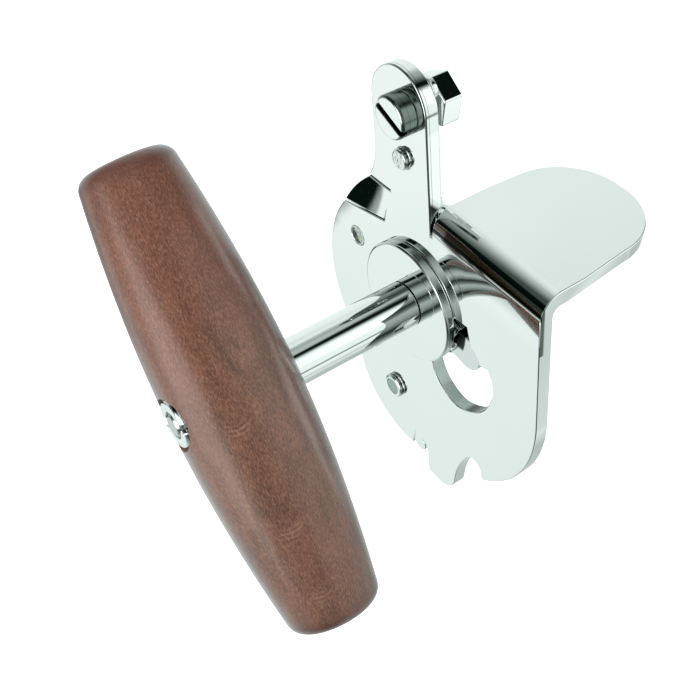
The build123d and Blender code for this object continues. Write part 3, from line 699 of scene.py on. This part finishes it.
def dress(plan, material):
    mesh = bmesh.new()
    mesh.from_mesh(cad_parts[plan["node"]].data)
    bmesh.ops.remove_doubles(mesh, verts=mesh.verts, dist=dressing["merge"])
    if "head" in plan:
        widenHead(mesh, plan["head"])
    if plan.get("flatten", True):
        bmesh.ops.dissolve_limit(mesh, angle_limit=dressing["flat"], verts=mesh.verts, edges=mesh.edges)
    sharp = radians(plan.get("sharp", dressing["sharp"]))
    weights = mesh.edges.layers.float.new("bevel_weight_edge")
    for edge in mesh.edges:
        room = min(beside.calc_length() for corner in edge.verts for beside in corner.link_edges)
        if room > dressing["room"] and edge.calc_face_angle() > sharp:
            edge[weights] = 1.0
    for face in mesh.faces:
        face.smooth = True
        face.material_index = 0
    data = bpy.data.meshes.new(plan["name"])
    mesh.to_mesh(data)
    mesh.free()
    data.materials.append(material)
    piece = bpy.data.objects.new(plan["name"], data)
    bpy.context.collection.objects.link(piece)
    bevel = piece.modifiers.new("edgeRounding", "BEVEL")
    bevel.width = plan["edge"]
    bevel.segments = plan["segments"]
    bevel.limit_method = "WEIGHT"
    bevel.use_clamp_overlap = False
    shading = piece.modifiers.new("evenShading", "WEIGHTED_NORMAL")
    shading.weight = dressing["normalWeight"]
    shading.keep_sharp = True
    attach(piece, plan["body"])
    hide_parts(plan["node"])


# The lower stud's head is wider than its CAD node's and sits a little lower and to the left
lowHead = {"from": -6.55 * mm, "axis": (-11.7 * mm, -43.7 * mm), "middle": studLooks["studLow"]["axis"],
           "wider": 1.3}
dressPlans = [
    ({"name": "plate", "node": "body_plate", "body": "frame", "slot": "chrome",
      "edge": 0.28 * mm, "segments": 3}, plateChrome),
    ({"name": "knifeBlade", "node": "knife", "body": "frame", "slot": "chrome",
      "edge": 0.12 * mm, "segments": 2}, chrome),
    ({"name": "screw", "node": "knife_screw", "body": "frame", "slot": "chrome",
      "edge": 0.12 * mm, "segments": 2}, screwSteel),
    ({"name": "collar", "node": "screw_collar", "body": "frame", "slot": "chrome",
      "edge": 0.12 * mm, "segments": 2}, screwSteel),
    ({"name": "nut", "node": "knife_nut", "body": "frame", "slot": "chrome",
      "edge": 0.3 * mm, "segments": 3}, chrome),
    ({"name": "pin", "node": "locating_pin", "body": "frame", "slot": "steel",
      "edge": 0.15 * mm, "segments": 3}, studSteels["pin"]),
    ({"name": "studHigh", "node": "upper_stud", "body": "frame", "slot": "steel",
      "edge": 0.15 * mm, "segments": 3}, studSteels["studHigh"]),
    ({"name": "studLow", "node": "lower_stud", "body": "frame", "slot": "steel",
      "edge": 0.12 * mm, "segments": 3, "head": lowHead}, studSteels["studLow"]),
    ({"name": "bush", "node": "eccentric_bush", "body": "bush", "slot": "chrome",
      "edge": 0.12 * mm, "segments": 3, "flatten": False}, jointChrome),
    ({"name": "retainer", "node": "bush_retainer", "body": "bush", "slot": "chrome",
      "edge": 0.12 * mm, "segments": 2}, steel),
    ({"name": "wheel", "node": "transport_wheel", "body": "drive", "slot": "steel",
      "edge": 0.1 * mm, "segments": 2, "sharp": 20}, steel),
    ({"name": "sleeve", "node": "shaft_sleeve", "body": "drive", "slot": "chrome",
      "edge": 0.05 * mm, "segments": 2}, jointChrome),
    ({"name": "shaft", "node": "drive_shaft", "body": "drive", "slot": "steel",
      "edge": 0.15 * mm, "segments": 2}, steel),
    ({"name": "capNut", "node": "handle_nut", "body": "drive", "slot": "chrome",
      "edge": 0.15 * mm, "segments": 3}, chrome),
]
for plan, material in dressPlans:
    dress(plan, material)
print("pieces dressed")


# Grip: a barrel turned about its own axis, with a seat for the sleeve, a pocket for the cap nut and a bore for
# the shaft. Each bore: radius, and where it starts and ends along Y from the barrel's centre
grip = {"lean": barrelLean, "centre": barrelCentre, "half": 44.9 * mm,
        "midRadius": 12.55 * mm, "endRadius": 8.8 * mm, "power": 1.91, "endRound": 2.4 * mm,
        "rings": 60, "roundSteps": 10, "turns": 128, "boreTurns": 96, "merge": 0.001 * mm, "sharp": 40,
        "bores": [(4.72 * mm, 10.95 * mm, 30.0 * mm), (5.2 * mm, -30.0 * mm, -10.05 * mm),
                  (2.62 * mm, -30.0 * mm, 30.0 * mm)]}


def barrelRadius(plan, along):
    share = abs(along) / plan["half"]
    return plan["midRadius"] - (plan["midRadius"] - plan["endRadius"]) * share ** plan["power"]


def gripProfile(plan):
    straight = plan["half"] - plan["endRound"]
    side = []
    for ring in range(plan["rings"] + 1):
        along = straight * (2 * ring / plan["rings"] - 1)
        side.append((barrelRadius(plan, along), along))
    corner = []
    for step in range(1, plan["roundSteps"] + 1):
        swing = radians(90) * step / plan["roundSteps"]
        along = straight + plan["endRound"] * sin(swing)
        radius = barrelRadius(plan, along) - plan["endRound"] * (1 - cos(swing))
        corner.append((radius, along))
    low = [(radius, -along) for radius, along in reversed(corner)]
    return [(0.0, -plan["half"])] + low + side + corner + [(0.0, plan["half"])]


def makeCutter(plan, radius, near, far):
    mesh = bmesh.new()
    bmesh.ops.create_cone(mesh, cap_ends=True, segments=plan["boreTurns"], radius1=radius, radius2=radius,
                          depth=far - near)
    bmesh.ops.rotate(mesh, verts=mesh.verts, matrix=Matrix.Rotation(radians(90), 3, "X"))
    bmesh.ops.translate(mesh, verts=mesh.verts, vec=plan["centre"] + Vector((0, (near + far) / 2, 0)))
    data = bpy.data.meshes.new("cutter")
    mesh.to_mesh(data)
    mesh.free()
    cutter = bpy.data.objects.new("cutter", data)
    bpy.context.collection.objects.link(cutter)
    return cutter


def makeGrip(plan, material):
    mesh = bmesh.new()
    line = [mesh.verts.new((radius, 0.0, along)) for radius, along in gripProfile(plan)]
    edges = [mesh.edges.new(pair) for pair in zip(line, line[1:])]
    bmesh.ops.spin(mesh, geom=line + edges, cent=(0, 0, 0), axis=(0, 0, 1), angle=radians(360),
                   steps=plan["turns"], use_merge=True)
    bmesh.ops.remove_doubles(mesh, verts=mesh.verts, dist=plan["merge"])
    bmesh.ops.recalc_face_normals(mesh, faces=mesh.faces)
    bmesh.ops.rotate(mesh, verts=mesh.verts, matrix=Matrix.Rotation(plan["lean"], 3, "Y"))
    bmesh.ops.translate(mesh, verts=mesh.verts, vec=plan["centre"])
    data = bpy.data.meshes.new("grip")
    mesh.to_mesh(data)
    mesh.free()
    piece = bpy.data.objects.new("grip", data)
    bpy.context.collection.objects.link(piece)
    for radius, near, far in plan["bores"]:
        cutter = makeCutter(plan, radius, near, far)
        cut = piece.modifiers.new("bore", "BOOLEAN")
        cut.operation = "DIFFERENCE"
        cut.solver = "EXACT"
        cut.object = cutter
        bpy.context.view_layer.objects.active = piece
        bpy.ops.object.modifier_apply(modifier=cut.name)
        bpy.data.objects.remove(cutter)
    data = piece.data
    data.materials.append(material)
    data.polygons.foreach_set("use_smooth", [True] * len(data.polygons))
    data.set_sharp_from_angle(angle=radians(plan["sharp"]))
    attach(piece, "drive")
    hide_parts("handle")


makeGrip(grip, wood)
print("grip turned")
